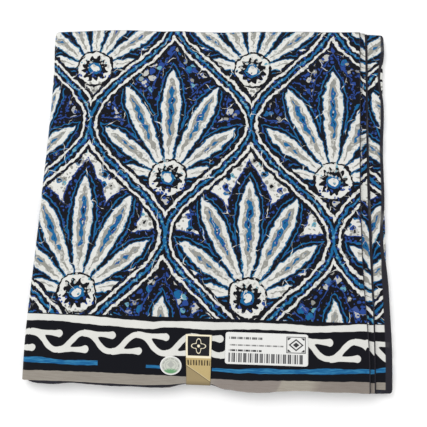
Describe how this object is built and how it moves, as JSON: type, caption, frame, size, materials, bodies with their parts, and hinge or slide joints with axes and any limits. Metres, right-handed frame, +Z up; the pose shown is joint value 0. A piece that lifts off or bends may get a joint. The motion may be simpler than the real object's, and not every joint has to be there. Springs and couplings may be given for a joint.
{
  "type": "folded wax print fabric",
  "caption": "Folded length of wax print cotton: printed front leaf, smooth spine on the left, stepped leaf edges on the right, layered hem with a paper seal, label and round sticker.",
  "frame": {"origin": "centre of the packet's bounding box, on the flat underside", "axes": "+Z up from the surface it lies on, +X along the hem from the spine to the stepped edges, +Y from the printed hem to the back folds"},
  "size_m": [0.3741, 0.3924, 0.0167],
  "materials": {
    "printed_cotton": "matte printed plain-weave cotton, slight wax-print sheen",
    "folded_edges": "matte printed cotton, folds and raw selvedges",
    "white_paper": "smooth coated label paper",
    "gold_paper": "satin gold paper, creased",
    "seal_paper": "coated round sticker"
  },
  "bodies": {
    "root": {"front_leaf": "printed_cotton", "second_leaf": "printed_cotton", "third_leaf": "printed_cotton", "back_leaf": "printed_cotton", "inner_folds": "folded_edges", "paper_label": "white_paper", "gold_seal": "gold_paper", "round_seal": "seal_paper"}
  },
  "joints": []
}
